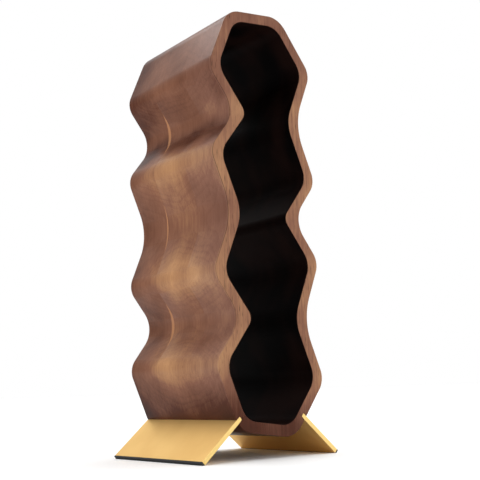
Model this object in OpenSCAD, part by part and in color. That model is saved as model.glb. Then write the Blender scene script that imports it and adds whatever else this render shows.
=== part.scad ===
// Upright wine rack: four six-sided bottle cells stacked in one open wavy tube.
// The tube is glued up from three walnut rings with a thin black lining inside,
// and it stands on two splayed metal plates let into its lower corners.
// Origin: on the floor, midway between the feet and at the middle of the depth.
// The front faces -Y.

/* [Cells] */
// Side length of each regular six-sided cell, measured on the outside
cell_side = 79.5; // [72:0.5:96]
// Height from one cell's centre to the next one's
cell_pitch = 118; // [98:1:142]
// Lean of each cell, to one side and the other in turn
cell_tilt = 7.5; // [0:0.5:9]
// Sideways place of the cells, from the middle between the feet
cell_shift = 2.5; // [0:0.5:4]

/* [Wooden rings] */
// Depth of the whole rack, front to back
rack_depth = 175; // [140:1:300]
// Depth of the front ring, and of the back ring
end_ring_depth = 56; // [40:1:62]
// Thickness of the wooden wall
wall = 12.5; // [10:0.5:15]

/* [Rounding] */
// Outer rounding of the bulge at the side of each cell
bulge_round = 22.5; // [15:0.5:26]
// Outer rounding of the top and bottom corners
end_round = 29; // [20:0.5:32]
// Inner rounding of the bulges and corners
hollow_round = 24.5; // [14:0.5:27]
// Outer rounding of the deep waists
deep_waist_round = 31.5; // [20:0.5:40]
// Outer rounding of the shallow waists
shallow_waist_round = 71; // [50:1:80]
// Rounding of the inner ridge at each deep waist
deep_ridge_round = 12; // [6:0.5:20]
// Rounding of the inner ridge at each shallow waist
shallow_ridge_round = 42.5; // [25:0.5:50]

/* [Lining] */
// Thickness of the black lining
lining_t = 1; // [0.6:0.1:1.5]

/* [Feet] */
// Thickness of each metal foot plate
plate_t = 5; // [4:0.5:6]
// Length of each foot plate along its slope
plate_length = 66.5; // [55:0.5:90]
// Slope of the foot plates above the floor
plate_angle = 40.5; // [36:0.5:46]
// Depth of the groove that holds a plate, square to the wall
groove_depth = 5.7; // [4.5:0.1:7]
// Glue line on each side of a plate in its groove
glue_gap = 0.1; // [0.05:0.05:0.2]
// Direction of the plates' roots from the lowest cell's centre, off straight down
root_angle = 42.5; // [40:0.5:45]
// Thickness of the rubber strip on the end of each plate
strip_t = 1.6; // [1:0.1:2.5]
// Height cut off the strip's lower corner, so that it sits flat on the floor
strip_trim = 0.8; // [0.4:0.1:1]

/* [Screws] */
// Diameter of the screws that hold the plates
screw_d = 3; // [2.5:0.5:3.5]
// Diameter of the countersunk heads
screw_head_d = 5.6; // [5:0.1:6.5]
// Length of the screws, with their heads
screw_length = 14; // [12:1:20]
// Clearance round a screw in the wood
screw_clearance = 0.2; // [0.1:0.05:0.4]
// Wood left between a screw's head and the lining, at the least
head_cover = 0.9; // [0.6:0.1:1.5]

/* [Hidden] */
$fn = 96;
LEFT = -1;
RIGHT = 1;
cells = 4;
beyond = 1;
small = 0.01;
// The roundings are drawn in steps of about this many degrees
arc_step = 6;

// The cells' flat sides lie this far from their centres
cell_apothem = cell_side * cos(30);
// Side lean of a cell: the lowest leans right side down, the next one up, and so on
function lean(i) = i % 2 == 0 ? -cell_tilt : cell_tilt;

// Ring joints along the depth
front_y = -rack_depth / 2;
back_y = rack_depth / 2;
front_joint_y = front_y + end_ring_depth;
back_joint_y = back_y - end_ring_depth;

// Foot roots: the right wall of the lowest cell sets how far out they sit
right_wall_normal = 30 + cell_tilt;
root_reach = (cell_apothem - groove_depth + cell_shift * cos(right_wall_normal))
             / cos(90 - root_angle - right_wall_normal);
root_x = root_reach * sin(root_angle);
root_z = (plate_length + strip_t) * sin(plate_angle) + plate_t / 2 * cos(plate_angle) - strip_trim;
first_cell_z = root_z + root_reach * cos(root_angle);

// Screws: countersunk below the cavity's face, one through each ring. The foot with less wood
// behind its root sets how far in the heads sit
head_level = min(wood_behind(LEFT), wood_behind(RIGHT)) - head_cover;
head_h = (screw_head_d - screw_d) / 2;
screw_ys = [(front_y + front_joint_y) / 2, (front_joint_y + back_joint_y) / 2,
            (back_joint_y + back_y) / 2];
screw_hole_d = screw_d + 2 * screw_clearance;
head_hole_d = screw_head_d + 2 * screw_clearance;

// ---- The wavy outline: a chain of six-sided cells, each corner with its own rounding ----

function cell_z(i) = first_cell_z + i * cell_pitch;
// Direction from cell i's centre towards its corner k, or towards a flat side at k + 0.5
function cell_way(i, k) = [cos(60 * k + lean(i)), sin(60 * k + lean(i))];
// Corner k of cell i, for cells whose flat sides lie at distance a from the centre
function cell_corner(i, k, a) = cell_way(i, k) * a / cos(30) + [cell_shift, cell_z(i)];
// Wood between a plate's root and the cavity, whose corner there is a rounding between flat walls
function wood_behind(side) = let (
    k = side == LEFT ? 4 : 5,
    away = [side * root_x, root_z] - cell_corner(0, k, cell_apothem - wall - hollow_round),
    at_rounding = away * cell_way(0, k) > norm(away) * cos(30)
) (at_rounding ? norm(away) : max(away * cell_way(0, k - 0.5), away * cell_way(0, k + 0.5)))
  - hollow_round;
// Half-width where two cells' walls meet, walls at this angle from upright
function waist_x(a, slope) = (a - cell_pitch / 2 * sin(slope)) / cos(slope);
// The waist above cell i is deep on the side where the two cells' corners lean together
function waist_slope(i, side) = 30 + (i % 2 == 0 ? -side : side) * cell_tilt;
function waist(i, side, a) = [cell_shift + side * waist_x(a, waist_slope(i, side)),
                              cell_z(i) + cell_pitch / 2];
function waist_round(i, side, deep, shallow) = waist_slope(i, side) > 30 ? deep : shallow;

// Corners in turn, anticlockwise from the bottom left, each as [point, rounding]
function outline(a, bulge, end, deep, shallow) = concat(
    [[cell_corner(0, 4, a), end], [cell_corner(0, 5, a), end]],
    [for (j = [0 : 2 * cells - 2]) let (i = floor(j / 2)) j % 2 == 0
        ? [cell_corner(i, 0, a), bulge]
        : [waist(i, RIGHT, a), waist_round(i, RIGHT, deep, shallow)]],
    [[cell_corner(cells - 1, 1, a), end], [cell_corner(cells - 1, 2, a), end]],
    [for (j = [2 * cells - 2 : -1 : 0]) let (i = floor(j / 2)) j % 2 == 0
        ? [cell_corner(i, 3, a), bulge]
        : [waist(i, LEFT, a), waist_round(i, LEFT, deep, shallow)]]);

function unit(v) = v / norm(v);
function corner_before(o, n) = o[(n + len(o) - 1) % len(o)][0];
function corner_after(o, n) = o[(n + 1) % len(o)][0];
function to_before(o, n) = unit(corner_before(o, n) - o[n][0]);
function to_after(o, n) = unit(corner_after(o, n) - o[n][0]);
// Half of the angle between the two sides at corner n
function half_angle(o, n) = acos(to_before(o, n) * to_after(o, n)) / 2;
function round_centre(o, n) = o[n][0] + unit(to_before(o, n) + to_after(o, n))
                              * o[n][1] / sin(half_angle(o, n));
// Outward corners turn left on the way round, waists turn right
function turn(o, n) = let (p = to_before(o, n), q = to_after(o, n)) q[0] * p[1] - q[1] * p[0] > 0 ? 1 : -1;
// Points of the rounding at corner n: it faces the corner and spans as much as the outline turns
function corner_arc(o, n) = let (
    centre = round_centre(o, n),
    facing = atan2(o[n][0][1] - centre[1], o[n][0][0] - centre[0]),
    span = 180 - 2 * half_angle(o, n),
    steps = ceil(span / arc_step)
) [for (k = [0 : steps]) let (angle = facing + turn(o, n) * span * (k / steps - 0.5))
    centre + o[n][1] * [cos(angle), sin(angle)]];

module rounded_outline(o) polygon([for (n = [0 : len(o) - 1]) each corner_arc(o, n)]);

module outer_outline() rounded_outline(outline(cell_apothem, bulge_round, end_round,
                                               deep_waist_round, shallow_waist_round));

// The hollow of the tube, inset by t from the wood's inner face
module hollow_outline(t = 0) rounded_outline(outline(cell_apothem - wall - t, hollow_round - t,
    hollow_round - t, deep_ridge_round + t, shallow_ridge_round + t));

// Stands a flat drawing upright and gives it depth from y0 to y1
module upright(y0, y1) translate([0, y1, 0]) rotate([90, 0, 0]) linear_extrude(y1 - y0) children();

// Moves to a foot's own frame: x runs out along the plate from its root, z square to it
module at_foot(side) mirror([side == LEFT ? 1 : 0, 0, 0])
    translate([root_x, 0, root_z]) rotate([0, plate_angle, 0]) children();

// ---- The pieces ----

module plate_groove(side) at_foot(side)
    translate([0, front_y - beyond, -plate_t / 2 - glue_gap])
        cube([plate_length, rack_depth + 2 * beyond, plate_t + 2 * glue_gap]);

// Hole for one screw: shank, countersink and the way in for the head
module screw_hole(side, y) at_foot(side) translate([0, y, 0]) rotate([0, -90, 0]) {
    translate([0, 0, -beyond]) cylinder(d = screw_hole_d, h = head_level + beyond);
    translate([0, 0, head_level - head_h])
        cylinder(d1 = screw_hole_d, d2 = head_hole_d, h = head_h);
    translate([0, 0, head_level]) cylinder(d = head_hole_d, h = wall);
}

module ring(y0, y1, screw_y) {
    difference() {
        upright(y0, y1) outer_outline();
        upright(y0 - beyond, y1 + beyond) hollow_outline();
        for (side = [LEFT, RIGHT]) {
            plate_groove(side);
            screw_hole(side, screw_y);
        }
    }
}

module front_ring() color("sienna") ring(front_y, front_joint_y, screw_ys[0]);
module middle_ring() color("#8f5236") ring(front_joint_y, back_joint_y, screw_ys[1]);
module back_ring() color("sienna") ring(back_joint_y, back_y, screw_ys[2]);

module black_lining() color("#1c1614") difference() {
    upright(front_y, back_y) hollow_outline();
    upright(front_y - beyond, back_y + beyond) hollow_outline(lining_t);
}

module foot_plate(side) color("#d9a441") difference() {
    at_foot(side) translate([0, front_y, -plate_t / 2]) cube([plate_length, rack_depth, plate_t]);
    for (y = screw_ys) at_foot(side) translate([-small, y, 0]) rotate([0, 90, 0])
        cylinder(d = screw_d, h = screw_length - head_level + small);
}

// Rubber strip on the plate's lower end, cut flat where it meets the floor
module foot_strip(side) color("#151515") difference() {
    at_foot(side) translate([plate_length, front_y, -plate_t / 2]) cube([strip_t, rack_depth, plate_t]);
    translate([-rack_depth * 2, front_y - beyond, -plate_t])
        cube([rack_depth * 4, rack_depth + 2 * beyond, plate_t]);
}

module foot_screws(side) color("#8a8a88") for (y = screw_ys)
    at_foot(side) translate([0, y, 0]) rotate([0, -90, 0]) {
        translate([0, 0, head_level - screw_length]) cylinder(d = screw_d, h = screw_length - head_h);
        translate([0, 0, head_level - head_h]) cylinder(d1 = screw_d, d2 = screw_head_d, h = head_h);
    }

module left_foot_plate() foot_plate(LEFT);
module right_foot_plate() foot_plate(RIGHT);
module left_foot_strip() foot_strip(LEFT);
module right_foot_strip() foot_strip(RIGHT);
module left_foot_screws() foot_screws(LEFT);
module right_foot_screws() foot_screws(RIGHT);

front_ring();
middle_ring();
back_ring();
black_lining();
left_foot_plate();
right_foot_plate();
left_foot_strip();
right_foot_strip();
left_foot_screws();
right_foot_screws();
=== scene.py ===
"""Looks of an upright walnut wine rack: a wavy tube of stacked six-sided cells on two splayed gold plates."""
import logging
import math
from dataclasses import dataclass
from enum import Enum
from typing import Any, Sequence

import bpy
import numpy as np
from mathutils import Matrix, Vector


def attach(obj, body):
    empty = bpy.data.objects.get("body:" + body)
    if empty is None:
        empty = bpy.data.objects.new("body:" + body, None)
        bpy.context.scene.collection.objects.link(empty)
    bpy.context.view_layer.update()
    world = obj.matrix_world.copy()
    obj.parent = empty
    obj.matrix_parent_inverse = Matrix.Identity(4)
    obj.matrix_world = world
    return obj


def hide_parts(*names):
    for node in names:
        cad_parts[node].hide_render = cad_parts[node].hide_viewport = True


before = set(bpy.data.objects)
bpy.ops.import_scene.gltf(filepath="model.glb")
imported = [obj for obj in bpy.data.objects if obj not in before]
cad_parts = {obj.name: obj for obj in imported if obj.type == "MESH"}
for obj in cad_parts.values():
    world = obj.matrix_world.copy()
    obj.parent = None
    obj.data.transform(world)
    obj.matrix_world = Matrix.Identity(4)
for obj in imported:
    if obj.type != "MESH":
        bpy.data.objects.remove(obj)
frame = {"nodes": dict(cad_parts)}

LOG = logging.getLogger("wine_rack")
MM = 0.001
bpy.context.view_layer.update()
Colour = tuple[float, float, float]
RIM_STEPS = 4  # points on each rounded rim


# ---------------------------------------------------------------- shader arithmetic


class Signal:
    """One output socket of a shader graph that takes part in Python arithmetic."""

    def __init__(self, graph: "Graph", socket: bpy.types.NodeSocket) -> None:
        """Wrap a socket.

        Args:
            graph: The graph that the socket belongs to.
            socket: The output socket.
        """
        self.graph = graph
        self.socket = socket

    def _math(self, operation: str, first: Any, second: Any) -> "Signal":
        """Add a Math node for an operation on two values or signals and return its result."""
        return self.graph.add("ShaderNodeMath", {"operation": operation}, {0: first, 1: second})

    def __add__(self, other: Any) -> "Signal":
        """Sum."""
        return self._math("ADD", self, other)

    __radd__ = __add__

    def __sub__(self, other: Any) -> "Signal":
        """Difference."""
        return self._math("SUBTRACT", self, other)

    def __rsub__(self, other: Any) -> "Signal":
        """Difference with the signal on the right."""
        return self._math("SUBTRACT", other, self)

    def __mul__(self, other: Any) -> "Signal":
        """Product."""
        return self._math("MULTIPLY", self, other)

    __rmul__ = __mul__

    def __truediv__(self, other: Any) -> "Signal":
        """Quotient."""
        return self._math("DIVIDE", self, other)

    def __rtruediv__(self, other: Any) -> "Signal":
        """Quotient with the signal below the line."""
        return self._math("DIVIDE", other, self)

    def __pow__(self, other: Any) -> "Signal":
        """Power."""
        return self._math("POWER", self, other)

    def __rpow__(self, other: Any) -> "Signal":
        """Power with the signal as the exponent."""
        return self._math("POWER", other, self)

    def fract(self) -> "Signal":
        """Part after the decimal point."""
        return self._math("FRACT", self, 0.0)

    def maximum(self, other: Any) -> "Signal":
        """Larger of the two."""
        return self._math("MAXIMUM", self, other)

    def clamp(self, low: float, high: float) -> "Signal":
        """Map the range low..high to 0..1 with soft ends.

        Args:
            low: Value that becomes 0.
            high: Value that becomes 1.

        Returns:
            The mapped signal.
        """
        return self.graph.add("ShaderNodeMapRange", {"interpolation_type": "SMOOTHSTEP"},
                              {"Value": self, "From Min": low, "From Max": high})


Input = Signal | float | Sequence[float]


class Graph:
    """A node tree, with one method that adds every kind of node."""

    def __init__(self, tree: bpy.types.NodeTree) -> None:
        """Wrap a node tree."""
        self.tree = tree

    def add(self, kind: str, settings: dict[str, Any], sockets: dict[Any, Input], out: Any = None) -> Signal:
        """Add a node.

        Args:
            kind: Type name of the node.
            settings: Node properties, set before the sockets; "stops" fills a colour ramp.
            sockets: Values or signals for input sockets, by name or index.
            out: Name or index of the output to return; the first enabled one if None.

        Returns:
            The chosen output.
        """
        node = self.tree.nodes.new(kind)
        stops = settings.get("stops")
        for key, value in settings.items():
            if key != "stops":
                setattr(node, key, value)
        if stops:
            ramp = node.color_ramp.elements
            while len(ramp) < len(stops):
                ramp.new(1.0)
            for element, (place, colour) in zip(ramp, stops):
                element.position = place
                element.color = (*colour, 1.0)
        for key, value in sockets.items():
            if isinstance(key, int):
                socket = node.inputs[key]
            else:
                socket = next(s for s in node.inputs if s.name == key and s.enabled)
            self.feed(socket, value)
        if out is None:
            return Signal(self, next(s for s in node.outputs if s.enabled))
        return Signal(self, node.outputs[out])

    def feed(self, socket: bpy.types.NodeSocket, value: Input) -> None:
        """Set or link one input socket.

        Args:
            socket: The input socket.
            value: A number, a colour or vector, or a signal.
        """
        if isinstance(value, Signal):
            self.tree.links.new(value.socket, socket)
        elif isinstance(value, (int, float)):
            socket.default_value = value
        else:
            socket.default_value = (*value, 1.0) if len(socket.default_value) == 4 else value

    def millimetres(self) -> Signal:
        """Position on the piece, in millimetres."""
        place = self.add("ShaderNodeTexCoord", {}, {}, "Object")
        return self.add("ShaderNodeVectorMath", {"operation": "SCALE"}, {0: place, "Scale": 1 / MM})

    def stretch(self, vector: Signal, scale: Sequence[float], shift: Sequence[float] = (0, 0, 0)) -> Signal:
        """Scale a vector along each axis, then shift it."""
        return self.add("ShaderNodeVectorMath", {"operation": "MULTIPLY_ADD"},
                        {0: vector, 1: scale, 2: shift})

    def axis(self, vector: Signal, letter: str) -> Signal:
        """One of a vector's three parts, by its letter."""
        return self.add("ShaderNodeSeparateXYZ", {}, {0: vector}, letter)

    def size_of(self, value: Signal) -> Signal:
        """A value without its sign."""
        return self.add("ShaderNodeMath", {"operation": "ABSOLUTE"}, {0: value})

    def noise(self, vector: Signal, detail: float = 2.0, roughness: float = 0.5) -> Signal:
        """Smooth noise from 0 to 1 at one feature per unit of the vector."""
        return self.add("ShaderNodeTexNoise", {"noise_dimensions": "3D"},
                        {"Vector": vector, "Scale": 1.0, "Detail": detail, "Roughness": roughness}, "Fac")

    def mix(self, amount: Input, first: Input, second: Input, blend: str = "MIX") -> Signal:
        """Blend two colours."""
        return self.add("ShaderNodeMix", {"data_type": "RGBA", "blend_type": blend},
                        {"Factor": amount, "A": first, "B": second}, 2)

    def bump(self, height: Signal, strength: float, distance: float) -> Signal:
        """Surface direction tilted by a height signal; distance is the height of 1, in metres."""
        return self.add("ShaderNodeBump", {}, {"Height": height, "Strength": strength, "Distance": distance})


class Finish(Graph):
    """The node tree of a new material with a Principled surface."""

    def __init__(self, name: str) -> None:
        """Start the material.

        Args:
            name: Name of the material.
        """
        self.material = bpy.data.materials.new(name)
        self.material.use_nodes = True
        super().__init__(self.material.node_tree)
        self.shader = self.tree.nodes["Principled BSDF"]

    def surface(self, **sockets: Input) -> bpy.types.Material:
        """Feed the Principled shader.

        Args:
            sockets: Values or signals by the shader's socket names, underscores standing for spaces.

        Returns:
            The material.
        """
        for key, value in sockets.items():
            self.feed(self.shader.inputs[key.replace("_", " ")], value)
        return self.material


def srgb(red: int, green: int, blue: int) -> Colour:
    """Linear colour of an 8-bit screen colour."""
    return tuple(((c / 255 + 0.055) / 1.055) ** 2.4 if c > 10 else c / 3295 for c in (red, green, blue))


# ---------------------------------------------------------------- finishes


@dataclass(frozen=True)
class Grain:
    """One layer of soft noise in the wood, drawn out along the fibres.

    Attributes:
        across: Features in a millimetre across the fibres.
        along: Features in a millimetre along the fibres.
        detail: Number of finer layers in it.
        roughness: Share of the finer layers.
    """

    across: float
    along: float
    detail: float
    roughness: float = 0.5

    def on(self, g: Graph, place: Signal, shift: Sequence[float]) -> Signal:
        """Noise from 0 to 1 at a place, moved by a shift."""
        scale = (self.across, self.across, self.along)
        return g.noise(g.stretch(place, scale, shift), self.detail, self.roughness)


@dataclass(frozen=True)
class Change:
    """A soft change between two places.

    Attributes:
        start: Where it starts.
        end: Where it is complete, on either side of the start.
        amount: How much it adds to the tone, less than 0 for darker.
    """

    start: float
    end: float
    amount: float = 1.0

    def share(self, place: Signal) -> Signal:
        """0 up to the start and 1 past the end."""
        return place.clamp(self.start, self.end)


@dataclass(frozen=True)
class Contrast:
    """How far each layer of the wood moves its tone, from its darkest to its lightest place."""

    rings: float = 0.2
    late_wood: float = 0.05
    blotch: float = 0.7
    strand: float = 0.28
    fibre: float = 0.22


@dataclass(frozen=True)
class Walnut:
    """Oiled walnut sawn from one board: growth rings round an upright heart, fibres and pores along Z.

    Places are in millimetres. A tone runs from 0 for dark to 1 for light.

    Attributes:
        name: Name of the material.
        seed: Shift that makes each board's fibres its own.
        figure_seed: Shift of the broad figure, which boards sawn from one plank share.
        heart: Place of the tree's heart: its distance out from the rack's middle, and its Y.
        ring_width: Usual width of a growth ring.
        ring_group: Width of a group of similar rings, in ring widths.
        ring_sway: How far the rings wander, from one side to the other.
        level_sway: How far the heights of the slow changes of tone wander.
        level_fray: How far their edges fray.
        contrast: How strongly each layer shows.
        base: General tone of the board.
        glow: How much lighter the golden wood near the heart is. It lies on the bulge crowns, lightest at
            mid-depth, and is partly the wood's tone, partly a painted highlight.
        gold_and_highlight_reach: Distance from the heart over which the wood turns golden and takes the
            painted highlight.
        crown: Height over which the top of the rack loses most of that gold.
        middle_x: X of the rack's middle, where two boards of a ring meet back to back.
        pale_edge: Y of a joint with a sliver of pale sapwood beside it, and the distance out where it starts.
        waists: Lowest and highest Z of the stretch that has the slivers.
        fade: Change of tone along Y; on the back board it is painted shade, darker towards the back.
        top_shade: Painted shade: change of tone towards the top.
        corner: Further painted shade along Y, darker towards the back, over the part that top_shade covers.
        shade_band: Lower edge of a dark band across the grain just below the top waist: painted shade, partly
            grain.
        shade_band_end: Its top edge.
        lower: Painted shade: change of tone towards the bottom.
        front_face: Y over which the front face begins.
        shade_line: Y over which a painted shade line along the front outer edge begins.
        shade_line_end: Y over which it ends.
        painted_sheen: Y over which a painted sheen, a pale reflection tint, spreads towards the front.
        sway, blotch, strand, fibre, pores: The layers of noise, from the broadest to the finest.
        deep, dark, middle, light, brightest: Colours from the darkest tone to the lightest.
        sapwood: Colour of the slivers.
        pore: Colour of pores and of the painted shade line along the front edge.
        sheen_tint: What the wood's colour is multiplied by where the painted sheen lies.
    """

    name: str
    seed: float
    figure_seed: float = 11.7
    heart: tuple[float, float] = (300.0, -6.0)
    ring_width: float = 3.4
    ring_group: float = 1.6
    ring_sway: float = 18.0
    level_sway: float = 70.0
    level_fray: float = 4.0
    contrast: Contrast = Contrast()
    base: float = 0.47
    glow: float = 0.34
    gold_and_highlight_reach: Change = Change(243.0, 223.0)
    crown: Change = Change(340.0, 450.0, -0.7)
    middle_x: float = 2.5
    pale_edge: tuple[float, float] | None = None
    waists: tuple[float, float] = (112.0, 430.0)
    fade: Change = Change(-84.0, -87.2, 0.18)
    top_shade: Change = Change(394.0, 416.0, -0.16)
    corner: Change = Change(-30.0, 88.0, -0.06)
    shade_band: Change = Change(344.0, 364.0, -0.34)
    shade_band_end: Change = Change(390.0, 368.0)
    lower: Change = Change(108.0, 14.0, -0.66)
    front_face: Change = Change(-86.8, -87.4)
    shade_line: Change = Change(-86.0, -86.8)
    shade_line_end: Change = Change(-87.48, -87.3)
    painted_sheen: Change = Change(-10.0, -80.0)
    sway: Grain = Grain(0.016, 0.009, 2.0)
    blotch: Grain = Grain(0.022, 0.017, 2.0, 0.45)
    strand: Grain = Grain(0.3, 0.006, 3.0, 0.6)
    fibre: Grain = Grain(1.5, 0.03, 4.0, 0.65)
    pores: Grain = Grain(1.5, 0.075, 1.0)
    deep: Colour = srgb(40, 20, 13)
    dark: Colour = srgb(78, 40, 25)
    middle: Colour = srgb(129, 86, 65)
    light: Colour = srgb(180, 133, 92)
    brightest: Colour = srgb(193, 146, 102)
    sapwood: Colour = srgb(196, 140, 96)
    pore: Colour = srgb(52, 30, 22)
    sheen_tint: Colour = (1.0, 1.08, 1.25)

    def figure(self, g: Graph, place: Signal, out: Signal, sway: Signal) -> Signal:
        """Tone of the growth rings, the gold and the blotches; the gold, lightest on the bulge crowns at
        mid-depth, is partly the wood's tone and partly a painted highlight.

        The radius is the distance from the heart plus up to half the ring sway either way. Rings are
        noise along the radius, with a thin dark line of late wood at every ring width.

        Args:
            g: The material's graph.
            place: Position in millimetres.
            out: Distance from the rack's middle.
            sway: The broadest layer of noise.

        Returns:
            The tone.
        """
        y, z = g.axis(place, "Y"), g.axis(place, "Z")
        flat = g.add("ShaderNodeCombineXYZ", {}, {"X": self.heart[0] - out, "Y": y - self.heart[1]})
        straight = g.add("ShaderNodeVectorMath", {"operation": "LENGTH"}, {0: flat}, "Value")
        radius = straight + (sway - 0.5) * self.ring_sway
        group = self.ring_width * self.ring_group
        line = g.add("ShaderNodeCombineXYZ", {}, {"X": radius / group, "Y": self.figure_seed})
        rings = g.noise(line, 2.0, 0.6)
        late_wood = (radius / self.ring_width).fract() ** 4
        blotch = self.blotch.on(g, place, self.broad)
        # The gold lies on the bulge crowns, lightest at mid-depth: partly the wood's tone, partly a painted
        # highlight.
        gold = self.gold_and_highlight_reach.share(radius) * (1 + self.crown.share(z) * self.crown.amount)
        return (gold * self.glow + self.base + (rings - 0.5) * self.contrast.rings
                + (blotch - 0.5) * self.contrast.blotch - late_wood * self.contrast.late_wood)

    @property
    def broad(self) -> tuple[float, float, float]:
        """Shift of the broad layers of noise."""
        return self.figure_seed, self.figure_seed * 1.3, self.figure_seed * 0.8

    def shaded(self, tone: Signal, y: Signal, level: Signal, face: Signal) -> Signal:
        """Add the slow changes of tone to the figure: the change along Y, which on the back board is painted
        shade, and painted shade at the top, at the bottom and in a band below the top waist.

        Args:
            tone: Tone of the figure.
            y: Depth.
            level: Height, which wanders a little with the grain.
            face: 1 on the front face.

        Returns:
            The tone.
        """
        # Painted shade: darker towards the top, more so towards the back.
        corner = self.corner.share(y) * self.corner.amount + self.top_shade.amount
        # Painted shade, partly grain: a dark band just below the top waist.
        shade_band = self.shade_band.share(level) * self.shade_band_end.share(level)
        # Painted shade: darker towards the bottom; on the back board the fade along Y is painted shade too.
        return (tone + self.fade.share(y) * self.fade.amount
                + self.top_shade.share(level) * corner
                + self.lower.share(level) * self.lower.amount
                + shade_band * self.shade_band.amount * (1 - face))

    def sliver(self, out: Signal, y: Signal, z: Signal, strand: Signal) -> Signal:
        """Where the pale sapwood shows, as a curved sliver beside the joint at each waist.

        It reaches past the joint by the slope times the distance to where it starts.

        Args:
            out: Distance from the rack's middle.
            y: Depth.
            z: Height.
            strand: Noise that frays its edge.

        Returns:
            How much it covers, from 0 up to its strength.
        """
        slope = 0.42
        fray = 2.0
        soft_edge = 1.6
        soft_end = 12.0
        strength = 0.6
        joint, start = self.pale_edge
        low, high = self.waists
        inside = (start - out) * slope - (y - joint) + (strand - 0.5) * fray
        here = z.clamp(low, low + soft_end) * z.clamp(high, high - soft_end)
        return inside.clamp(0.0, soft_edge) * here * strength

    def material(self) -> bpy.types.Material:
        """Build the material.

        Returns:
            The finished walnut.
        """
        g = Finish(self.name)
        place = g.millimetres()
        x, y, z = (g.axis(place, letter) for letter in "XYZ")
        out = g.size_of(x - self.middle_x)
        own = (self.seed, self.seed * 1.7, self.seed * 0.6)
        sway = self.sway.on(g, place, self.broad)
        strand = self.strand.on(g, place, own)
        fibre = self.fibre.on(g, place, own)
        pores = self.pores.on(g, place, own).clamp(0.6, 0.72)
        level = z + (sway - 0.5) * self.level_sway + (strand - 0.5) * self.level_fray
        face = self.front_face.share(y)
        tone = (self.figure(g, place, out, sway) + (strand - 0.5) * self.contrast.strand
                + (fibre - 0.5) * self.contrast.fibre)
        tone = self.shaded(tone, y, level, face)
        below = 0.3  # share of the ramp for tones under 0, so that the darkest wood keeps its grain
        stops = [(0.0, self.deep), (0.328, self.dark), (0.65, self.middle), (0.93, self.light),
                 (1.0, self.brightest)]
        colour = g.add("ShaderNodeValToRGB", {"stops": stops}, {"Fac": tone * (1 - below) + below}, "Color")
        # Painted sheen: a pale reflection tint multiplied into the colour, growing towards the front and
        # weaker on the face.
        sheen_coloured = g.mix(1.0, colour, self.sheen_tint, "MULTIPLY")
        less_sheen_on_face = 1 - face * 0.55
        colour = g.mix(self.painted_sheen.share(y) * less_sheen_on_face, colour, sheen_coloured)
        # Painted shade: a dark line along the front outer edge, in the pores' colour.
        edge_shade = self.shade_line.share(y) * self.shade_line_end.share(y) * sway.clamp(0.35, 0.6) * 0.7
        open_pores = pores * (face * 0.5 + 0.2)
        colour = g.mix(open_pores.maximum(edge_shade), colour, self.pore)
        if self.pale_edge:
            colour = g.mix(self.sliver(out, y, z, strand), colour, self.sapwood)
        height = fibre * 0.6 - pores * 0.8
        return g.surface(Base_Color=colour, Roughness=0.24 + fibre * 0.12 + pores * 0.1,
                         Normal=g.bump(height, 0.22, 0.1 * MM), Specular_IOR_Level=0.08)


WALNUT_BOARDS = (
    Walnut("walnut, front board", 5.9),
    Walnut("walnut, middle board", 5.9),
    # The back board's fade is painted shade, darker towards the back.
    Walnut("walnut, back board", 23.3, base=0.46, glow=0.26, fade=Change(26.0, 84.0, -0.22),
           pale_edge=(31.5, 63.5)),
)


@dataclass(frozen=True)
class SatinGold:
    """Fine bead-blasted gold metal, with a paler colour painted on its end faces as a highlight.

    Attributes:
        name: Name of the material.
        end_y: Distance of the end faces from the middle, in millimetres.
    """

    name: str = "satin gold"
    end_y: float = 87.5

    def material(self) -> bpy.types.Material:
        """Build the material.

        Returns:
            The finished metal.
        """
        g = Finish(self.name)
        place = g.millimetres()
        grit = g.noise(g.stretch(place, (5, 5, 5)), 3.0, 0.7)
        cloud = g.noise(g.stretch(place, (0.03, 0.03, 0.03)), 2.0)
        y = g.size_of(g.axis(place, "Y"))
        face = g.mix(cloud.clamp(0.2, 0.8), srgb(232, 192, 122), srgb(238, 200, 130))
        # Painted highlight: the end faces take a paler colour.
        colour = g.mix(y.clamp(self.end_y - 0.4, self.end_y), face, srgb(236, 206, 134))
        return g.surface(Base_Color=colour, Metallic=1.0, Roughness=0.5 + grit * 0.12,
                         Normal=g.bump(grit, 0.12, 0.05 * MM))


@dataclass(frozen=True)
class BlackLacquer:
    """Satin black lining with a faint brown warmth.

    Attributes:
        name: Name of the material.
    """

    name: str = "black lining"

    def material(self) -> bpy.types.Material:
        """Build the material.

        Returns:
            The finished lining.
        """
        g = Finish(self.name)
        place = g.millimetres()
        peel = g.noise(g.stretch(place, (0.4, 0.4, 0.12)), 3.0)
        haze = g.noise(g.stretch(place, (0.02, 0.02, 0.01)), 2.0)
        colour = g.mix(haze.clamp(0.35, 0.65), srgb(5, 3, 3), srgb(26, 13, 10))
        return g.surface(Base_Color=colour, Roughness=0.4 + haze * 0.12, Normal=g.bump(peel, 0.06, 0.1 * MM),
                         Specular_IOR_Level=0.012)


@dataclass(frozen=True)
class BlackRubber:
    """Matt black rubber with a fine pebbled skin.

    Attributes:
        name: Name of the material.
    """

    name: str = "black rubber"

    def material(self) -> bpy.types.Material:
        """Build the material.

        Returns:
            The finished rubber.
        """
        g = Finish(self.name)
        place = g.millimetres()
        pebble = g.noise(g.stretch(place, (3, 3, 3)), 2.0)
        colour = g.mix(pebble, srgb(18, 18, 19), srgb(34, 34, 35))
        return g.surface(Base_Color=colour, Roughness=0.6 + pebble * 0.2,
                         Normal=g.bump(pebble, 0.2, 0.1 * MM))


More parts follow.
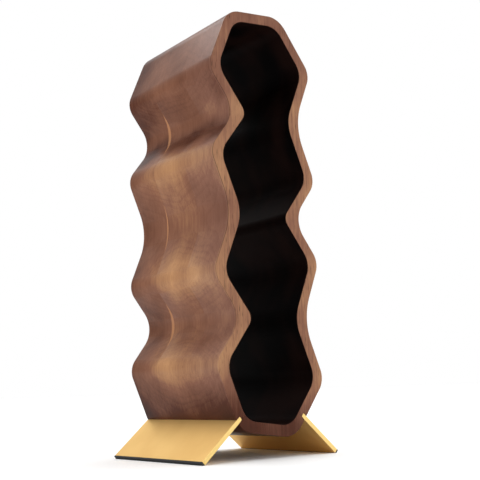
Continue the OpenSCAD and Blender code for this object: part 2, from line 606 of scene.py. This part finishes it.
@dataclass(frozen=True)
class ScrewSteel:
    """Plain turned steel.

    Attributes:
        name: Name of the material.
    """

    name: str = "screw steel"

    def material(self) -> bpy.types.Material:
        """Build the material.

        Returns:
            The finished steel.
        """
        g = Finish(self.name)
        turned = g.noise(g.stretch(g.millimetres(), (4, 0.4, 4)), 2.0)
        colour = g.mix(turned, srgb(128, 128, 126), srgb(160, 160, 158))
        return g.surface(Base_Color=colour, Metallic=1.0, Roughness=0.3 + turned * 0.15)


@dataclass(frozen=True)
class PaleFloor:
    """Plain white studio floor.

    Attributes:
        name: Name of the material.
    """

    name: str = "studio floor"

    def material(self) -> bpy.types.Material:
        """Build the material.

        Returns:
            The finished floor.
        """
        g = Finish(self.name)
        mottle = g.noise(g.stretch(g.millimetres(), (0.01, 0.01, 0.01)), 2.0)
        colour = g.mix(mottle, srgb(250, 250, 250), srgb(253, 253, 253))
        return g.surface(Base_Color=colour, Roughness=0.75)


# ---------------------------------------------------------------- shapes


def rounded_loop(corners: np.ndarray, radii: np.ndarray, steps: int, guard: float = 0.0) -> np.ndarray:
    """Round every corner of a closed flat outline.

    Each corner becomes an arc of its radius that touches both sides: the arc's centre lies on the
    corner's bisector, radius / sin(half angle) away, and the arc spans half a turn less the angle.

    Args:
        corners: N corner points, anticlockwise.
        radii: N radii.
        steps: Points on each arc.
        guard: Distance of one more point on each side of every arc, which keeps flat sides flat.

    Returns:
        The outline's points.
    """
    before = np.roll(corners, 1, 0) - corners
    after = np.roll(corners, -1, 0) - corners
    before /= np.linalg.norm(before, axis=1, keepdims=True)
    after /= np.linalg.norm(after, axis=1, keepdims=True)
    half = np.arccos(np.clip((before * after).sum(1), -1, 1)) / 2
    bisector = before + after
    bisector /= np.linalg.norm(bisector, axis=1, keepdims=True)
    centre = corners + bisector * (radii / np.sin(half))[:, None]
    facing = np.arctan2(*(corners - centre).T[::-1])
    turn = np.sign(after[:, 0] * before[:, 1] - after[:, 1] * before[:, 0])
    share = np.linspace(-0.5, 0.5, steps)
    angle = facing[:, None] + (turn * (math.pi - 2 * half))[:, None] * share
    arcs = centre[:, None] + radii[:, None, None] * np.stack([np.cos(angle), np.sin(angle)], 2)
    if guard:
        arcs = np.concatenate([arcs[:, :1] + before[:, None] * guard, arcs,
                               arcs[:, -1:] + after[:, None] * guard], 1)
    return arcs.reshape(-1, 2)


def inset_corners(corners: np.ndarray, inset: float) -> np.ndarray:
    """Move every side of an anticlockwise outline inwards by the same distance.

    A corner moves along the sum m of its two sides' inward normals, by inset * m / (1 + their dot product).

    Args:
        corners: N corner points.
        inset: Distance.

    Returns:
        The moved corners.
    """
    into = corners - np.roll(corners, 1, 0)
    away = np.roll(corners, -1, 0) - corners
    first = np.stack([-into[:, 1], into[:, 0]], 1) / np.linalg.norm(into, axis=1, keepdims=True)
    second = np.stack([-away[:, 1], away[:, 0]], 1) / np.linalg.norm(away, axis=1, keepdims=True)
    return corners + inset * (first + second) / (1 + (first * second).sum(1, keepdims=True))


def grid_quads(rows: int, columns: int, closed_rows: bool) -> np.ndarray:
    """Quads of a grid whose columns close on themselves.

    Args:
        rows: Number of rows of vertices.
        columns: Number of vertices in a row.
        closed_rows: Whether the last row joins the first.

    Returns:
        One row of four vertex numbers for each quad.
    """
    row = np.arange(rows if closed_rows else rows - 1)[:, None]
    column = np.arange(columns)[None]
    here, right = row * columns, (row + 1) % rows * columns
    ahead = (column + 1) % columns
    return np.stack([here + column, right + column, right + ahead, here + ahead], 2).reshape(-1, 4)


def new_piece(name: str, points: np.ndarray, faces: list[list[int]], material: bpy.types.Material,
              sharp: float = 12.0) -> bpy.types.Object:
    """Make a mesh object at the origin.

    Args:
        name: Name of the piece.
        points: Its vertices, in metres.
        faces: Vertex numbers of each face.
        material: Its finish.
        sharp: Edges bent by more than this many degrees stay crisp.

    Returns:
        The new object, linked to the scene.
    """
    mesh = bpy.data.meshes.new(name)
    mesh.from_pydata(points.tolist(), [], faces)
    mesh.validate()
    mesh.materials.append(material)
    mesh.shade_smooth()
    mesh.set_sharp_from_angle(angle=math.radians(sharp))
    piece = bpy.data.objects.new(name, mesh)
    bpy.context.scene.collection.objects.link(piece)
    LOG.info("%s: %d vertices, %d faces", name, len(mesh.vertices), len(mesh.polygons))
    return piece


def band(outer: np.ndarray, inner: np.ndarray, y0: float, y1: float,
         edges: tuple[float, float]) -> tuple[np.ndarray, list[list[int]]]:
    """Closed band between two matched loops in XZ, with depth along Y and rounded rims.

    A point is outer + across * (inner - outer) at its own y. The section goes once round the wall:
    four rims, each a quarter turn of its radius, joined by the flat faces.

    Args:
        outer: N points of the outer loop.
        inner: N matched points of the inner loop.
        y0: Y of the front face.
        y1: Y of the back face.
        edges: Rounding of the front and of the back rims.

    Returns:
        The vertices and the faces.
    """
    quarter = np.linspace(0, math.pi / 2, RIM_STEPS)
    wall = np.linalg.norm(inner - outer, axis=1)
    front, back = edges
    rims = ((front, y0, 1, False), (front, y0, 1, True), (back, y1, -1, True), (back, y1, -1, False))
    sections = []
    for radius, y, sign, at_inner in rims:
        turn = quarter[::-1] if (sign > 0) != at_inner else quarter
        reach = radius * (1 - np.sin(turn))
        depth = y + sign * radius * (1 - np.cos(turn))
        share = reach[None] / wall[:, None]
        sections.append((1 - share if at_inner else share, np.broadcast_to(depth, share.shape)))
    across, depth = (np.concatenate(parts, 1) for parts in zip(*sections))
    flat = outer[:, None] + across[..., None] * (inner - outer)[:, None]
    points = np.stack([flat[..., 0], depth, flat[..., 1]], 2)
    count, around = across.shape
    return points.reshape(-1, 3), grid_quads(count, around, True).tolist()


def prism(corners: np.ndarray, rounding: float, y0: float, y1: float) -> tuple[np.ndarray, list[list[int]]]:
    """Solid with a flat outline in XZ carried along Y, all its edges rounded.

    Towards each end the outline shrinks by rounding * (1 - cos a) while y goes rounding * (1 - sin a)
    short of the end, for a from 0 to a quarter turn; flat caps close it.

    Args:
        corners: N corners of the outline, anticlockwise seen from the front.
        rounding: Radius of the edges.
        y0: Y of the front face.
        y1: Y of the back face.

    Returns:
        The vertices and the faces.
    """
    least = 0.15  # the corners keep this share of their rounding at the caps
    turn = np.linspace(0, math.pi / 2, RIM_STEPS)
    insets = rounding * (1 - np.sin(turn))
    short = rounding * (1 - np.cos(turn))
    stations = list(zip(y0 + short, insets)) + list(zip(y1 - short[::-1], insets[::-1]))
    loops = []
    for y, inset in stations:
        radii = np.full(len(corners), max(rounding - inset, rounding * least))
        loop = rounded_loop(inset_corners(corners, inset), radii, RIM_STEPS)
        loops.append(np.stack([loop[:, 0], np.full(len(loop), y), loop[:, 1]], 1))
    around = len(loops[0])
    faces = grid_quads(len(loops), around, False).tolist()
    faces.append(list(range(around)))
    faces.append([(len(loops) - 1) * around + k for k in range(around - 1, -1, -1)])
    return np.concatenate(loops), faces


# ---------------------------------------------------------------- sub-assemblies


class Side(Enum):
    """Left or right, as seen from the front."""

    LEFT = -1
    RIGHT = 1


@dataclass(frozen=True)
class Sizes:
    """The rack's sizes in millimetres, the same as the solid model's."""

    cells: int = 4
    cell_side: float = 79.5
    cell_pitch: float = 118.0
    cell_tilt: float = 7.5
    cell_shift: float = 2.5
    rack_depth: float = 175.0
    end_ring_depth: float = 56.0
    wall: float = 12.5
    bulge_round: float = 22.5
    end_round: float = 29.0
    hollow_round: float = 24.5
    deep_waist_round: float = 31.5
    shallow_waist_round: float = 71.0
    deep_ridge_round: float = 12.0
    shallow_ridge_round: float = 42.5
    lining_t: float = 1.0
    plate_t: float = 5.0
    plate_length: float = 66.5
    plate_angle: float = 40.5
    groove_depth: float = 5.7
    glue_gap: float = 0.1
    root_angle: float = 42.5
    strip_t: float = 1.6
    strip_trim: float = 0.8

    @property
    def apothem(self) -> float:
        """Distance of a cell's flat sides from its centre."""
        return self.cell_side * math.cos(math.radians(30))

    @property
    def root(self) -> tuple[float, float, float]:
        """Where a foot's root sits in the lowest cell's bottom corner.

        Returns:
            X and Z of the root, and its distance from the lowest cell's middle line.
        """
        normal = math.radians(30 + self.cell_tilt)
        down = math.radians(self.root_angle)
        slope = math.radians(self.plate_angle)
        reach = self.apothem - self.groove_depth + self.cell_shift * math.cos(normal)
        reach /= math.cos(math.pi / 2 - down - normal)
        height = (self.plate_length + self.strip_t) * math.sin(slope) + self.plate_t / 2 * math.cos(slope)
        return reach * math.sin(down), height - self.strip_trim, reach

    @property
    def first_cell_z(self) -> float:
        """Height of the lowest cell's centre."""
        _, height, reach = self.root
        return height + reach * math.cos(math.radians(self.root_angle))

    def lean(self, cell: int) -> float:
        """Lean of a cell in degrees, to one side and the other in turn."""
        return -self.cell_tilt if cell % 2 == 0 else self.cell_tilt

    def at_foot(self, points: np.ndarray, side: Side) -> np.ndarray:
        """Place points given along a foot plate and square to it.

        Args:
            points: Distances out along the plate from its root, and up from its middle plane.
            side: Which foot.

        Returns:
            The points' X and Z.
        """
        slope = math.radians(self.plate_angle)
        x, z, _ = self.root
        along = np.array([math.cos(slope), -math.sin(slope)])
        upward = np.array([math.sin(slope), math.cos(slope)])
        placed = np.array([x, z]) + points[:, :1] * along + points[:, 1:] * upward
        return placed * np.array([side.value, 1])

    def along_foot(self, placed: np.ndarray, side: Side) -> np.ndarray:
        """Undo at_foot.

        Args:
            placed: Points in X and Z.
            side: Which foot.

        Returns:
            The distances out along the plate, and up from its middle plane.
        """
        slope = math.radians(self.plate_angle)
        x, z, _ = self.root
        away = placed * np.array([side.value, 1]) - np.array([x, z])
        along = away[:, 0] * math.cos(slope) - away[:, 1] * math.sin(slope)
        upward = away[:, 0] * math.sin(slope) + away[:, 1] * math.cos(slope)
        return np.stack([along, upward], 1)


@dataclass
class WavyTube:
    """The tube: three glued walnut rings with a black lining inside.

    Attributes:
        sizes: The rack's sizes.
        arc_steps: Points on each rounding.
        guard: Distance of the points that keep flat walls flat, in millimetres.
        open_rim: Rounding of the tube's front and back rims.
        joint_rim: Rounding of the rims where two rings meet, which leaves a hairline.
        lining_rim: Rounding of the lining's rims.
        groove_margin: Distance from a groove within which the outline's own points give way to it.
        inner_spread: Where a groove's four matched inner points lie, as shares of the stretch behind it.
        boards: Finishes of the front, middle and back rings.
    """

    sizes: Sizes
    arc_steps: int = 21
    guard: float = 0.6
    open_rim: float = 0.55
    joint_rim: float = 0.06
    lining_rim: float = 0.3
    groove_margin: float = 0.9
    inner_spread: tuple[float, float, float, float] = (0.12, 0.27, 0.73, 0.88)
    boards: tuple[Walnut, Walnut, Walnut] = WALNUT_BOARDS

    def outline(self, apothem: float, bulge: float, end: float, deep: float, shallow: float) -> np.ndarray:
        """Chain of six-sided cells, each corner with its own rounding.

        Corner k of a cell points 60 k degrees plus the cell's lean off its centre. Where two cells' walls
        meet, at a slope s off upright, the half-width is (apothem - pitch / 2 * sin s) / cos s.

        Args:
            apothem: Distance of the flat sides from the centres.
            bulge: Rounding at the side of each cell.
            end: Rounding of the top and bottom corners.
            deep: Rounding of the deep waists.
            shallow: Rounding of the shallow waists.

        Returns:
            The rounded outline's points, anticlockwise from the bottom left.
        """
        s = self.sizes
        found: list[tuple[float, float, float]] = []

        def corner(cell: int, k: int, rounding: float) -> None:
            """Note one corner of a cell.

            Args:
                cell: Number of the cell from the bottom.
                k: Number of the corner, anticlockwise from the right.
                rounding: Its rounding.
            """
            angle = math.radians(60 * k + s.lean(cell))
            reach = apothem / math.cos(math.radians(30))
            found.append((s.cell_shift + reach * math.cos(angle),
                          s.first_cell_z + cell * s.cell_pitch + reach * math.sin(angle), rounding))

        def waist(cell: int, side: Side) -> None:
            """Note the waist above a cell.

            Args:
                cell: Number of the cell from the bottom.
                side: Which side.
            """
            degrees = 30 + (-side.value if cell % 2 == 0 else side.value) * s.cell_tilt
            slope = math.radians(degrees)
            half = (apothem - s.cell_pitch / 2 * math.sin(slope)) / math.cos(slope)
            found.append((s.cell_shift + side.value * half, s.first_cell_z + (cell + 0.5) * s.cell_pitch,
                          deep if degrees > 30 else shallow))

        top = s.cells - 1
        corner(0, 4, end)
        corner(0, 5, end)
        for cell in range(s.cells):
            corner(cell, 0, bulge)
            if cell < top:
                waist(cell, Side.RIGHT)
        corner(top, 1, end)
        corner(top, 2, end)
        for cell in range(top, -1, -1):
            corner(cell, 3, bulge)
            if cell > 0:
                waist(cell - 1, Side.LEFT)
        table = np.array(found)
        return rounded_loop(table[:, :2], table[:, 2], self.arc_steps, self.guard)

    def outer(self) -> np.ndarray:
        """Outer face of the wood."""
        s = self.sizes
        return self.outline(s.apothem, s.bulge_round, s.end_round, s.deep_waist_round, s.shallow_waist_round)

    def hollow(self, inset: float = 0.0) -> np.ndarray:
        """Inner face of the wood, or of the lining if inset by its thickness."""
        s = self.sizes
        return self.outline(s.apothem - s.wall - inset, s.hollow_round - inset, s.hollow_round - inset,
                            s.deep_ridge_round + inset, s.shallow_ridge_round + inset)

    def grooved(self, outer: np.ndarray, inner: np.ndarray, side: Side) -> tuple[np.ndarray, np.ndarray]:
        """Cut a foot's groove into the outer loop and keep the inner loop matched to it.

        The outer points inside the groove give way to its two mouth points and two floor corners. The
        inner loop gets four points spread over the same stretch.

        Args:
            outer: N points of the outer loop.
            inner: N matched points of the inner loop.
            side: Which foot.

        Returns:
            The new outer and inner loops.
        """
        s = self.sizes
        half = s.plate_t / 2 + s.glue_gap
        flat = s.along_foot(outer, side)
        away, height = flat.T
        near = (np.abs(height) < half + self.groove_margin) & (np.abs(away) < s.plate_length)
        gone = int(near.sum())
        if gone:
            first = next(i for i in np.flatnonzero(near) if not near[i - 1])
        else:
            crosses = (height * np.roll(height, -1) < 0) & (away > 0) & (away < s.plate_length)
            first = np.flatnonzero(crosses)[0] + 1
        kept = len(outer) - gone
        whole_inner = np.roll(inner, -first - gone, 0)
        outer, inner, flat = (np.roll(a, -first - gone, 0)[:kept] for a in (outer, inner, flat))
        start, stop = flat[-1], flat[0]
        sense = 1 if stop[1] > start[1] else -1
        levels = np.array([-half, half]) * sense
        mouth = start[0] + (stop[0] - start[0]) * (levels - start[1]) / (stop[1] - start[1])
        cut = np.array([[mouth[0], levels[0]], [0, levels[0]], [0, levels[1]], [mouth[1], levels[1]]])
        stretch = np.concatenate([whole_inner[kept - 1:], whole_inner[:1]])
        place = np.array(self.inner_spread) * (len(stretch) - 1)
        below = np.minimum(place.astype(int), len(stretch) - 2)
        share = (place - below)[:, None]
        matched = stretch[below] * (1 - share) + stretch[below + 1] * share
        return np.concatenate([outer, s.at_foot(cut, side)]), np.concatenate([inner, matched])

    def build(self) -> list[bpy.types.Object]:
        """Build, dress and place the three rings and the lining.

        Returns:
            The four pieces.
        """
        s = self.sizes
        outer, inner = self.outer(), self.hollow()
        for side in Side:
            outer, inner = self.grooved(outer, inner, side)
        half = s.rack_depth / 2
        joint = half - s.end_ring_depth
        spans = [("front_ring", -half, -joint, (self.open_rim, self.joint_rim)),
                 ("middle_ring", -joint, joint, (self.joint_rim, self.joint_rim)),
                 ("back_ring", joint, half, (self.joint_rim, self.open_rim))]
        made = []
        for (name, y0, y1, rims), board in zip(spans, self.boards):
            points, faces = band(outer, inner, y0, y1, rims)
            ring = new_piece(f"walnut_{name}", points * MM, faces, board.material())
            made.append(settle(ring, name))
        rims = (self.lining_rim, self.lining_rim)
        points, faces = band(self.hollow(), self.hollow(s.lining_t), -half, half, rims)
        lining = new_piece("satin_black_lining", points * MM, faces, BlackLacquer().material())
        made.append(settle(lining, "black_lining"))
        return made


@dataclass
class SplayedFoot:
    """One foot: a gold plate let into the tube, a rubber strip on its end and its hidden screws.

    Attributes:
        sizes: The rack's sizes.
        side: Which foot.
        plate_edge: Rounding of the plate's edges, in millimetres.
        strip_edge: Rounding of the strip's edges.
    """

    sizes: Sizes
    side: Side
    plate_edge: float = 0.45
    strip_edge: float = 0.15

    def _corners(self, corners: list[tuple[float, float]]) -> np.ndarray:
        """Place an outline given in the foot's own frame, and keep it anticlockwise."""
        placed = self.sizes.at_foot(np.array(corners), self.side)
        return placed if self.side is Side.RIGHT else placed[::-1]

    def build(self, nodes: dict[str, bpy.types.Object], gold: bpy.types.Material,
              rubber: bpy.types.Material, steel: bpy.types.Material) -> list[bpy.types.Object]:
        """Build, dress and place the foot's pieces.

        Args:
            nodes: The solid model's nodes, for the screws.
            gold: Finish of the plate.
            rubber: Finish of the strip.
            steel: Finish of the screws.

        Returns:
            The new pieces.
        """
        s = self.sizes
        name = self.side.name.lower()
        half_t, half_y = s.plate_t / 2, s.rack_depth / 2
        end = s.plate_length + s.strip_t
        slab = self._corners([(0, -half_t), (s.plate_length, -half_t), (s.plate_length, half_t), (0, half_t)])
        points, faces = prism(slab, self.plate_edge, -half_y, half_y)
        plate = settle(new_piece(f"gold_{name}_foot_plate", points * MM, faces, gold),
                       f"{name}_foot_plate")
        slope = math.radians(s.plate_angle)
        lift = s.strip_trim
        strip = self._corners([(s.plate_length, -half_t), (end - lift / math.sin(slope), -half_t),
                               (end, -half_t + lift / math.cos(slope)), (end, half_t),
                               (s.plate_length, half_t)])
        points, faces = prism(strip, self.strip_edge, -half_y, half_y)
        pad = settle(new_piece(f"rubber_{name}_foot_strip", points * MM, faces, rubber),
                     f"{name}_foot_strip")
        screws = nodes[f"{name}_foot_screws"]
        screws.data.materials.clear()
        screws.data.materials.append(steel)
        LOG.info("%s: kept from the solid model", screws.name)
        return [plate, pad]


def settle(piece: bpy.types.Object, node: str) -> bpy.types.Object:
    """Tie a piece to the solid model: it rides on the body and hides the node that it stands for.

    Args:
        piece: The finished piece.
        node: Node that it stands for.

    Returns:
        The piece.
    """
    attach(piece, "root")
    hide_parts(node)
    return piece


@dataclass(frozen=True)
class Softbox:
    """A rectangular soft light, in metres.

    Attributes:
        name: Name of the light.
        at: Its place.
        aim: The point that it faces.
        size: Width and height.
        watts: Power.
    """

    name: str
    at: tuple[float, float, float]
    aim: tuple[float, float, float]
    size: tuple[float, float]
    watts: float

    def hang(self) -> None:
        """Create the light."""
        data = bpy.data.lights.new(self.name, "AREA")
        data.shape = "RECTANGLE"
        data.size, data.size_y = self.size
        data.energy = self.watts
        lamp = bpy.data.objects.new(self.name, data)
        lamp.location = self.at
        lamp.rotation_euler = (Vector(self.aim) - Vector(self.at)).to_track_quat("-Z", "Y").to_euler()
        bpy.context.scene.collection.objects.link(lamp)


@dataclass(frozen=True)
class BrightWall:
    """A part of the room that is brighter than the rest, with a soft edge.

    Attributes:
        towards: Direction of its middle, of length 1 or nearly.
        edge: Cosine of the angle off that direction where it starts.
        extra: Brightness that it adds at its middle.
    """

    towards: tuple[float, float, float]
    edge: float
    extra: float


@dataclass
class Studio:
    """White seamless studio with soft light, and the camera low in front of the left side.

    Attributes:
        camera_at: Place of the camera, in metres.
        yaw: Turn of the camera to the right of straight ahead, in degrees.
        pitch: Upward tilt, in degrees.
        roll: Roll, in degrees.
        lens: Focal length on a 36 mm sensor.
        floor_size: Half the floor's side, in metres.
        dim: Brightness of the room's plain parts.
        walls: Its brighter parts: overhead, at the back, in front and on the right.
        softboxes: The two lights.
    """

    camera_at: tuple[float, float, float] = (-0.6214, -0.8101, 0.0737)
    yaw: float = 38.90
    pitch: float = 10.12
    roll: float = -1.82
    lens: float = 63.58
    floor_size: float = 60.0
    dim: float = 0.55
    walls: tuple[BrightWall, ...] = (
        BrightWall((0.0, 0.0, 1.0), 0.72, 1.7),
        BrightWall((0.1, 0.82, 0.56), 0.8, 0.2),
        BrightWall((0.5, -0.85, 0.1), 0.4, 0.65),
        BrightWall((0.98, 0.0, 0.2), 0.5, 1.0),
    )
    softboxes: tuple[Softbox, ...] = (
        Softbox("left_softbox", (-1.5, 0.1, 0.35), (0, 0, 0.27), (0.7, 0.7), 3.4),
        Softbox("top_panel", (-0.3, 1.3, 2.05), (-0.05, 0, 0.5), (1.0, 0.5), 6.5),
    )

    def camera(self) -> None:
        """Create the camera and make it the scene's."""
        yaw, pitch, roll = (math.radians(a) for a in (self.yaw, self.pitch, self.roll))
        ahead = Vector((math.sin(yaw) * math.cos(pitch), math.cos(yaw) * math.cos(pitch), math.sin(pitch)))
        right = Vector((math.cos(yaw), -math.sin(yaw), 0))
        up = right.cross(ahead)
        rolled_right = right * math.cos(roll) + up * math.sin(roll)
        rolled_up = up * math.cos(roll) - right * math.sin(roll)
        data = bpy.data.cameras.new("camera")
        data.lens = self.lens
        data.sensor_width = 36
        data.clip_start = 0.01
        data.clip_end = 500
        camera = bpy.data.objects.new("camera", data)
        camera.matrix_world = Matrix((rolled_right, rolled_up, -ahead)).transposed().to_4x4()
        camera.location = self.camera_at
        bpy.context.scene.collection.objects.link(camera)
        bpy.context.scene.camera = camera

    def floor(self) -> None:
        """Lay the floor."""
        size = self.floor_size
        corners = np.array([[-size, -size, 0], [size, -size, 0], [size, size, 0], [-size, size, 0]])
        new_piece("studio_floor", corners, [[0, 1, 2, 3]], PaleFloor().material())

    def surroundings(self) -> None:
        """Surround the rack with a soft room that lights it, behind a backdrop that looks plain white."""
        world = bpy.data.worlds.new("studio")
        bpy.context.scene.world = world
        world.use_nodes = True
        tree = world.node_tree
        tree.nodes.clear()
        g = Graph(tree)
        way = g.add("ShaderNodeTexCoord", {}, {}, "Generated")
        glow = self.dim
        for wall in self.walls:
            toward = g.add("ShaderNodeVectorMath", {"operation": "DOT_PRODUCT"}, {0: way, 1: wall.towards},
                           "Value")
            glow = glow + toward.clamp(wall.edge, 1.0) * wall.extra
        room = g.add("ShaderNodeBackground", {}, {"Color": (1.0, 1.0, 1.0), "Strength": glow})
        seen = g.add("ShaderNodeBackground", {}, {"Color": (1.0, 1.0, 1.0), "Strength": 1.0})
        to_camera = g.add("ShaderNodeLightPath", {}, {}, "Is Camera Ray")
        mixed = g.add("ShaderNodeMixShader", {}, {0: to_camera, 1: room, 2: seen})
        out = tree.nodes.new("ShaderNodeOutputWorld")
        tree.links.new(mixed.socket, out.inputs["Surface"])

    def build(self) -> None:
        """Set up the camera, floor, room and lights."""
        self.camera()
        self.floor()
        self.surroundings()
        for softbox in self.softboxes:
            softbox.hang()
        bpy.context.scene.view_settings.view_transform = "Standard"


def main() -> None:
    """Build the wine rack and its studio."""
    logging.basicConfig(level=logging.INFO, format="%(name)s: %(message)s")
    sizes = Sizes()
    WavyTube(sizes).build()
    gold, rubber, steel = SatinGold().material(), BlackRubber().material(), ScrewSteel().material()
    for side in Side:
        SplayedFoot(sizes, side).build(frame["nodes"], gold, rubber, steel)
    Studio().build()


if __name__ == "__main__":
    main()
